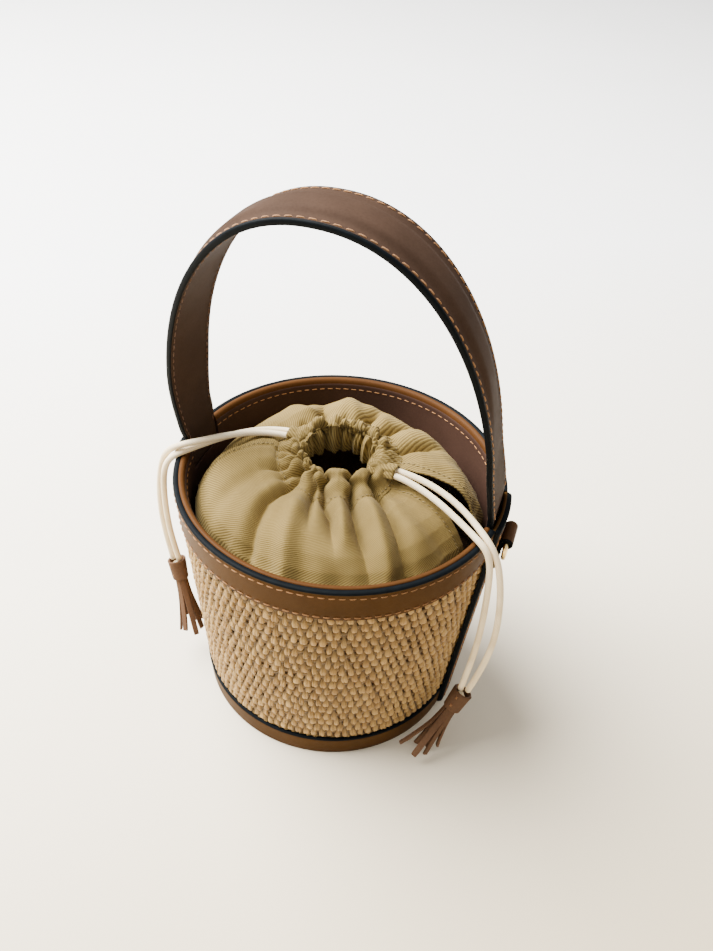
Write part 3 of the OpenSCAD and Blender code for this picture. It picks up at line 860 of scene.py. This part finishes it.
# how far out the dome reaches at each angle, against a round one
REACH = np.array([(0, 1.0), (11, 1.0), (28, 0.86), (46, 0.78), (67, 0.60), (80, 0.66), (93, 0.76),
                  (106, 0.84), (120, 0.64), (131, 0.68), (142, 0.78), (154, 0.74), (168, 0.74), (186, 0.92),
                  (200, 1.0), (360, 1.0)])
# pleats: the run of each as (angle, radius), its depth, its half width at both ends
PLEATS = [
    ([(311, 12), (300, 36), (299, 50), (301, 80)], 9.0, 2.0, 4.2),
    ([(263, 14), (279, 37), (283, 43), (287, 66)], 8.5, 2.0, 3.6),
    ([(253, 18), (266, 34), (273, 56)], 5.0, 1.5, 2.8),
    ([(239, 18), (242, 39), (241, 50), (249, 71), (255, 96)], 7.0, 2.0, 6.5),
    ([(339, 14), (329, 31), (322, 45), (317, 66), (316, 96)], 7.0, 2.0, 5.5),
    ([(236, 12), (230, 38)], 5.0, 1.5, 2.4),
    ([(221, 12), (216, 44)], 4.6, 1.4, 2.6),
    ([(207, 13), (204, 35)], 4.4, 1.3, 2.0),
    ([(192, 12), (194, 36)], 4.0, 1.3, 1.8),
    ([(177, 12), (180, 31)], 2.6, 1.0, 1.4),
    ([(150, 12), (146, 36)], 5.6, 1.7, 2.4),
    ([(129, 12), (124, 31), (121, 58)], 9.0, 1.9, 3.8),
    ([(108, 12), (104, 36)], 6.6, 1.7, 2.4),
    ([(88, 12), (86, 34), (83, 64)], 9.4, 1.9, 4.2),
    ([(68, 12), (62, 35), (60, 66)], 8.4, 1.8, 4.0),
    ([(47, 12), (46, 36)], 6.2, 1.7, 2.4),
    ([(27, 12), (33, 40), (38, 70)], 6.4, 1.6, 3.6),
]
# slow hollows and swellings: (angle, radius), height, half width
SWELLS = [
    ([(222, 46), (219, 58), (222, 74)], -3.2, 7.0),
    ([(262, 46), (264, 60), (268, 76), (270, 96)], 5.0, 6.0), ([(311, 40), (308, 60), (308, 90)], 4.2, 5.0),
    ([(340, 34), (338, 60), (337, 92)], -5.0, 9.0), ([(289, 36), (291, 62)], 3.6, 4.5),
    ([(289, 70), (289, 90)], -2.2, 8.0), ([(202, 36), (204, 62)], 2.2, 9.0),
    ([(136, 42), (140, 62)], 2.6, 7.0), ([(104, 40), (104, 64)], 3.0, 7.0),
    ([(45, 40), (46, 64)], 2.4, 7.0), ([(16, 40), (12, 70)], 2.0, 8.0), ([(240, 78), (236, 90)], -2.4, 8.0),
]


def run_r(q):
    return np.interp(q, RUN[:, 0], RUN[:, 1])


def run_z(q):
    return np.interp(q, RUN[:, 0], RUN[:, 2])


def run_of(path, phi, r, soft):
    """Distance from a run at this point, and how far along it the point lies (0 to 1, with soft ends)."""
    deg, rad = np.array(path, float).T
    sway = 4.6 * np.sin(r * 0.62 + deg[0]) * (1 - smooth((r - 24) / 10))
    ang = np.radians(np.interp(r, rad, deg) + sway)
    dist = np.abs((phi - ang + math.pi) % (2 * math.pi) - math.pi) * r
    from_start, span = r - rad[0], rad[-1] - rad[0]
    share = np.clip(from_start / span, 0, 1)
    fade_out = 1 - smooth((from_start - 0.6 * span) / (0.4 * span + 3))
    return dist, share, smooth((from_start + soft) / (1.4 * soft)) * fade_out


def folds(phi, r):
    """How far the cloth dips at an angle (radians) and a radius, mm."""
    out = np.zeros(np.broadcast(phi, r).shape)
    for path, depth, w0, w1 in PLEATS:
        dist, share, ends = run_of(path, phi, r, 4.0)
        out += depth * ends * np.exp(-((dist / (w0 + (w1 - w0) * share)) ** 1.35))
    for path, height, w in SWELLS:
        dist, share, ends = run_of(path, phi, r, 9.0)
        out -= height * ends * np.exp(-((dist / w) ** 2))
    tight = 1 - smooth((r - 26) / 14)
    gathers = 0.7 * np.sin(phi * 41 + 3 * np.sin(phi * 5)) + 0.3 * np.sin(phi * 67 + r * 0.35)
    ripples = np.sin(phi * 13 + r * 0.19 + 1.3) * np.sin(phi * 7 - r * 0.11)
    ripples = ripples + 0.6 * np.sin(phi * 29 - r * 0.16)
    return out + tight * (0.4 + 0.35 * np.sin(phi)) * gathers + (1 - tight) * 0.35 * ripples


def mouth_shift(r):
    """How far a circle of the cloth lies off the bag's axis: the mouth is off centre, the skirt isn't."""
    return MOUTH * (1 - smooth((r - 20) / 58))


def crown(phi, q):
    """Point of the cloth, mm. phi in radians about the mouth, q from 0 at the throat to 1 at the skirt."""
    r, z, phi, q = np.broadcast_arrays(run_r(q), run_z(q), phi, q)
    sl_r = run_r(q + 0.02) - run_r(q - 0.02)
    sl_z = run_z(q + 0.02) - run_z(q - 0.02)
    ln = np.hypot(sl_r, sl_z) + 1e-9
    nr, nz = -sl_z / ln, sl_r / ln
    puff = 1.9 * (1 - smooth((r - 62) / 14)) * smooth((r - 16) / 8)
    # folds fade into the skirt and into the throat, and are deeper at the back of the throat
    f = folds(phi, np.maximum(r, 13)) * (1 - smooth((q - 0.86) / 0.1))
    f = f * (0.5 + 0.5 * smooth((q - 0.05) / 0.07)) * (1 + 0.3 * smooth(np.sin(phi) * 2) * (q < 0.12))
    skirt = (0.8 * np.sin(phi * 11 + 1.2) + 0.6 * np.sin(phi * 17)) * smooth((q - 0.72) / 0.1)
    disp = puff - f - np.abs(skirt) * 0.7
    k = np.interp(np.degrees(phi) % 360, REACH[:, 0], REACH[:, 1])
    k = k + (1 - k) * smooth((146 - z) / 26)
    r = np.where(r > 36, 36 + (r - 36) * (1 + (k - 1) * smooth((r - 36) / 14)), r)
    rise = smooth(np.sin(phi) * 1.3) * (1 - smooth((r - 22) / 13))
    front = smooth(-np.sin(phi) * 1.3) * (1 - smooth((r - 20) / 10))
    z = z + rise * (8.5 * smooth((q - 0.02) / 0.1) - 4) + 1.2 * front
    r = r - 0.8 * front
    near = 1 - smooth((r - 15) / 14)
    rr, zz = r + nr * disp, z + nz * disp
    out = flat(rr * np.cos(phi) * (1 + 0.11 * near), rr * np.sin(phi), zz)
    out[:, :2] += mouth_shift(r.ravel()[:, None])
    # kept inside the facing
    lim = inner(out[:, 2]) - 0.9
    rad = np.hypot(out[:, 0], out[:, 1])
    k = np.where(out[:, 2] < 152, np.minimum(1, lim / np.maximum(rad, 1)), 1)
    out[:, :2] *= k[:, None]
    return out.reshape(*phi.shape, 3)


QQ = np.linspace(0, 1, 400)
ARC = np.concatenate([[0], np.cumsum(np.hypot(np.diff(run_r(QQ)), np.diff(run_z(QQ))))])


def cloth(name, phis, qs, lift):
    """A panel from arrays of angles [rows, cols], shares [rows] and heights added; rows run outwards."""
    P = crown(phis, qs[:, None] * np.ones_like(phis))
    P[..., 2] += lift
    nv, nu = phis.shape
    arc = np.interp(qs, QQ, ARC)[:, None]
    U = phis * (16 + 0.84 * run_r(qs)[:, None])
    co, si = math.cos(TWILL_TURN), math.sin(TWILL_TURN)
    uv = flat(U * co - arc * si, arc * co + U * si) / TWILL_RIB
    o = make(name, P.reshape(-1, 3), grid_faces(nu, nv, flip=True), M_KHAKI, uvs=uv)
    return thicken(o, 0.9)


def edge_angle(poly, r):
    """Angle about the mouth at which a polyline leaves a circle of radius r, radians."""
    pts = np.asarray(poly, float)
    seg = np.linspace(0, len(pts) - 1, 600)
    x = np.interp(seg, range(len(pts)), pts[:, 0])
    y = np.interp(seg, range(len(pts)), pts[:, 1])
    c = mouth_shift(r)
    rad = np.hypot(x - c[0], y - c[1])
    i = int(np.argmin(np.abs(rad - r)))
    return math.atan2(y[i] - c[1], x[i] - c[0])


# the panels' side edges, from the collar out to the rim
FRONT_L = [(-20, 1.0), (-24, 0.5), (-41, 0.5), (-53.9, -8.3), (-64.5, -15.5), (-92, -24)]
FRONT_R = [(18, 1.0), (29.4, -1.6), (42.6, -5.4), (54.7, -9.5), (70.6, -16.4), (92, -27)]
BACK_L = [(-20, 1), (-24, -1), (-41, -1.5), (-54, -10.5), (-64, -17), (-92, -26)]
BACK_R = [(18, 3.5), (31, 5.3), (42, 2.4), (60.5, 3.4), (71, 2.5), (92, -8)]


# share of the run where the panels leave the collar, and their turned hem
SEAT, HEM_W, HEM_T = 0.30, 5.0, 0.45


def panel(name, left, right_, front, rises):
    """A pouch panel between two side edges, with a turned hem; rises lift its first and last edge."""
    qs = np.concatenate([np.linspace(SEAT, 0.5, 60), np.linspace(0.5, 1.0, 70)[1:]])
    nu = 420
    rows, drops = [], []
    for q in qs:
        r = float(run_r(q))
        al, ar = edge_angle(left, r), edge_angle(right_, r)
        if front:
            al, ar = al % (2 * math.pi), ar % (2 * math.pi)
            ar = ar if ar > al else ar + 2 * math.pi
            ph = np.linspace(al, ar, nu)
        else:
            ph = np.linspace(ar, al if al > ar else al + 2 * math.pi, nu)
        rows.append(ph)
        dist = np.minimum(ph - ph[0], ph[-1] - ph) * r
        hem = HEM_T * (1 - smooth((dist - HEM_W) / 0.8))
        lift = sum(v * (1 - smooth(np.abs(ph - ph[e]) * r / 13)) for v, e in zip(rises, (0, -1)))
        drops.append(hem + lift * smooth((q - 0.31) / 0.07))
    rows, drops = np.array(rows), np.array(drops)
    return cloth(name, rows, qs, drops), rows, qs, drops


pf, *front = panel("pouch_cloth_front", FRONT_L, FRONT_R, True, (0.6, -1.0))
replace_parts(pf, "pouch_front")
pb, *back = panel("pouch_cloth_back", BACK_L, BACK_R, False, (1.2, -2.0))
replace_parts(pb, "pouch_back")
qs = np.linspace(0.0, 0.335, 90)
ph = np.linspace(0, 2 * math.pi, 1201)
pc = cloth("pouch_collar", np.tile(ph, (len(qs), 1)), qs, 0.4 * smooth((qs - 0.2) / 0.1)[:, None])
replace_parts(pc, "pouch_channel")


def cloth_seam(name, phis, qs, lift, length, slant=0.0):
    """A seam on the cloth through angles and shares, lifted as the cloth below it is."""
    phis, qs = np.asarray(phis), np.asarray(qs)
    P = crown(phis, qs)
    n = np.cross(crown(phis, qs + 0.004) - P, crown(phis + 0.01, qs) - P)
    n *= np.sign(n[:, 2:3])
    P[:, 2] += lift
    stitches(name, P, n, np.gradient(P, axis=0), length, 0.45, M_THREAD_KHAKI, sink=0.05, slant=slant)


turns = np.linspace(0, 2 * math.pi, 88, endpoint=False)
cloth_seam("collar_stitches", turns, np.full(88, 0.322), 0.45, 1.8)
for nm, (rows, q_, lifts), col in (("front_left", front, 0), ("front_right", front, -1),
                                   ("back_right", back, 0), ("back_left", back, -1)):
    found, last = [], -9
    for i, q in enumerate(q_):
        arc = float(np.interp(q, QQ, ARC))
        if not 0.35 <= q <= 0.9 or arc - last < 2.3:
            continue
        a = rows[i][col] + (4.2 if col == 0 else -4.2) / float(run_r(q))
        j = int(np.argmin(np.abs(rows[i] - a)))
        found.append((a, q, lifts[i][j] + 0.1))
        last = arc
    cloth_seam("hem_stitches_" + nm, *np.array(found).T, 2.0, 0.35)


def nub(name, pts):
    """An end of the channel, drawn out round the cords."""
    wide, tall = 5.6, 4.5
    pts = np.asarray(pts, float)
    m, k = 22, 40
    t = np.linspace(0, 1, m)
    c = np.stack([np.interp(t * (len(pts) - 1), range(len(pts)), pts[:, i]) for i in range(3)], -1)
    d = np.gradient(c, axis=0)
    d /= np.linalg.norm(d, axis=1)[:, None]
    side_ = np.cross(d, [0, 0, 1])
    up_ = np.cross(side_, d)
    a = np.linspace(0, 2 * math.pi, k, endpoint=False)
    swell = (1.12 - 0.34 * t + 0.10 * np.sin(t * 7 + 1))[:, None]
    crease = 1 + 0.11 * np.sin(5 * a + 2 * t[:, None]) + 0.05 * np.sin(11 * a - 4 * t[:, None])
    lip = np.where(t > 0.97, 0.88, 1)[:, None]
    r = swell * crease * lip
    across, above = (v[..., None] for v in (wide * r * np.cos(a), tall * r * np.sin(a)))
    P = c[:, None] + side_[:, None] * across + up_[:, None] * above
    t = t[:, None]
    uv = flat((a * 4 + t * 12) / 1.55, t * 14)
    o = make(name, P.reshape(-1, 3), grid_faces(k, m, True, flip=True), M_KHAKI, uvs=uv)
    thicken(o, 0.8)


nub("channel_end_right", [(17.0, 0.0, 160.0), (20, 0.0, 160.8), (25, -0.6, 161.3), (31, -1.4, 161.9)])
nub("channel_end_left", [(-21.5, 7.2, 160.4), (-24, 7.8, 160.9), (-28, 8.2, 161.4), (-34.5, 8.4, 161.9)])


# ---- tassels
Z = np.array([0, 0, 1])
STRIP_OUTLINE = [(k * u, k * v) for k in (1, -1) for u, v in ((-1, -0.55), (-0.85, -0.7), (0.85, -0.7),
    (1, -0.55))]


def tassel(side, top, to, strips, body):
    """A rolled cap, a knot inside it and cut strips; built along -Z, then hung from top towards to."""
    name = SIDES[side]
    turn_to = np.array(Vector((0, 0, -1)).rotation_difference(Vector(to).normalized()).to_matrix())

    def place(pts):
        return np.asarray(pts, float) @ turn_to.T + np.array(top)

    # cap: rolled strip, its outside and open mouth
    prof = [(4.25, -12.9), (4.65, -13.0), (4.85, -12.6), (5.0, -10), (5.25, -6), (5.5, -2), (5.62, -0.5),
            (5.4, -0.05), (4.7, 0.0), (4.3, -0.35), (4.15, -1.5), (4.1, -5.2), (4.1, -12.0)]
    n = 56
    verts, faces = [], []
    for i in range(n):
        a = 2 * math.pi * i / n
        step = 0.55 * smooth((a - 5.2) / 0.9) * (a < 6.2)
        for j, (r, z) in enumerate(prof):
            dent = 0.12 * math.sin(3 * a + z * 0.3)
            rr = r + (step if 1 <= j <= 7 else 0) + dent
            verts.append((rr * math.cos(a), rr * math.sin(a), z))
    k = len(prof)
    for i in range(n):
        for j in range(k):
            i2, j2 = (i + 1) % n, (j + 1) % k
            faces.append((i * k + j, i2 * k + j, i2 * k + j2, i * k + j2))
    cap = make("cap_leather_" + name, place(verts), faces, M_TASSEL, body)
    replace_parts(cap, "tassel_%s_cap" % name)
    # knot
    verts, faces = [], []
    nu, nv = 24, 16
    for j in range(nv):
        b_ = math.pi * j / (nv - 1)
        for i in range(nu):
            a = 2 * math.pi * i / nu
            rr = 2.8 * (1 + 0.07 * math.sin(3 * a + 4 * b_))
            e = spoke(a) * rr * math.sin(b_)
            verts.append((e[0], e[1], -3.9 - rr * math.cos(b_)))
    o = make("knot_" + name, place(verts), grid_faces(nu, nv, True, flip=True), M_CORD, body)
    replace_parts(o, "tassel_%s_knot" % name)
    # cut strips
    verts, faces = [], []
    for turn, splay, curl, w, ln in strips:
        m_ = 16
        a = math.radians(turn)
        er, et = spoke(a), spoke(a + math.pi / 2)
        pos = er * 2.9 - 9.0 * Z
        base = len(verts)
        twist = rng.normal(0, 0.25)
        for i in range(m_):
            t = i / (m_ - 1)
            s = math.radians(splay * smooth(t * 1.6) + curl * t * t)
            dirn = er * math.sin(s) - Z * math.cos(s)
            if i:
                pos = pos + dirn * (ln + 4) / (m_ - 1)
            nrm = er * math.cos(s) + Z * math.sin(s)
            tw = twist * t
            u_ = et * math.cos(tw) + nrm * math.sin(tw)
            v_ = nrm * math.cos(tw) - et * math.sin(tw)
            ww = w / 2 * (0.86 + 0.14 * smooth(t * 3)) * (1 if t < 0.98 else 0.92)
            verts += [pos + u_ * du * ww + v_ * dv for du, dv in STRIP_OUTLINE]
        faces += grid_faces(8, m_, True, base, flip=True)
        faces += caps(8, m_, base)
    o = make("strips_" + name, place(verts), faces, M_TASSEL, body)
    md = o.modifiers.new("soft", "BEVEL")
    md.width = 0.2 * MM
    md.segments = 2
    md.limit_method = "ANGLE"
    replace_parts(o, "tassel_%s_fringe" % name)
    # small crossed stitches that close the cap
    e, t = (spoke(math.radians(deg)) for deg in (250, 340))
    crosses = [(z, dt) for z in (-3.2, -9.5) for dt in (0.9, -0.9)]
    pts = place([e * (5.45 + 0.07 * (z + 3)) + z * Z for z, dt in crosses])
    tan = np.array([t * math.cos(dt) + Z * math.sin(dt) for z, dt in crosses]) @ turn_to.T
    stitches("cap_stitches_" + name, pts, [turn_to @ e] * 4, tan, 2.6, 0.5, M_THREAD, body)
    return cap


# strips: (turn deg, splay deg, curl deg, width, length)
LEFT_STRIPS = [(0, 3, 4, 3.6, 37), (52, 5, 6, 3.0, 33), (103, 4, 8, 3.2, 36), (155, 7, 5, 3.4, 30),
               (205, 8, 6, 3.0, 37), (258, 5, 10, 3.4, 35), (308, 9, 4, 3.2, 38)]
RIGHT_STRIPS = [(0, 8, 8, 3.4, 27), (52, 6, 6, 3.6, 35), (103, 5, 3, 3.8, 37), (155, 8, 4, 3.4, 37),
                (205, 14, 12, 2.4, 37), (258, 9, 6, 3.6, 36), (308, 5, 4, 3.4, 33)]
cap_l = tassel(-1, (-97, -20.5, 65.5), (16.5, -12.5, -51.5), LEFT_STRIPS, "tassel_left")
cap_r = tassel(1, (91.9, -38, 48), (-17.4, -19, -42), RIGHT_STRIPS, "tassel_right")


for cname, o in cords.items():
    pts = ROUTES[cname]

# ---- stage and light
me = bpy.data.meshes.new("floor")
me.from_pydata([(-6, -4, 0), (6, -4, 0), (6, 9, 0), (-6, 9, 0)], [], [(0, 1, 2, 3)])
floor = show("floor", me)
m_floor, nt, b = shader("floor_painted_falloff", 0.55)
# painted light falloff: the floor's colour runs from a dark warm brown at the near right to near white at
# the far left, towards the window light
slant = coords(nt)
dot = node(nt, "VectorMath")
dot.operation = "DOT_PRODUCT"
dot.inputs[1].default_value = (-0.55, 0.85, 0)
link(slant, dot.inputs[0])
far = node(nt, "MapRange", **{"From Min": -0.3, "From Max": 0.55})
link(dot.outputs["Value"], far.inputs["Value"])
cloudy = ramp(nt, noise_tex(nt, slant, 3, 3), [(0.3, (0.97, 0.97, 0.97)), (0.7, (1, 1, 1))])
painted_falloff = [(0, (0.50, 0.40, 0.25)), (0.45, (0.85, 0.78, 0.64)), (1, (0.99, 0.99, 0.99))]
warm = ramp(nt, far.outputs["Result"], painted_falloff)
colour(b, mix(nt, 1.0, warm, cloudy, "MULTIPLY"))
me.materials.append(m_floor)

world = bpy.data.worlds.new("studio")
world.use_nodes = True
bg = world.node_tree.nodes["Background"]
bg.inputs["Color"].default_value = (1.0, 0.985, 0.96, 1)
bg.inputs["Strength"].default_value = 0.9
bpy.context.scene.world = world


def area(name, loc, at, size, power, color=(1, 1, 1)):
    li = bpy.data.lights.new(name, "AREA")
    li.shape = "DISK"
    li.size = size
    li.energy = power
    li.color = color
    o = show(name, li)
    o.location = loc
    o.rotation_euler = (Vector(at) - Vector(loc)).to_track_quat("-Z", "Y").to_euler()


area("window", (-1.35, 0.15, 1.95), (0, 0.05, 0.1), 2.3, 430, (1, 0.985, 0.955))
area("fill", (0.9, -1.4, 1.2), (0, 0, 0.1), 1.2, 3, (1, 0.96, 0.9))
area("side", (-1.4, -0.2, 0.9), (0, 0, 0.12), 0.9, 14, (1, 0.98, 0.95))
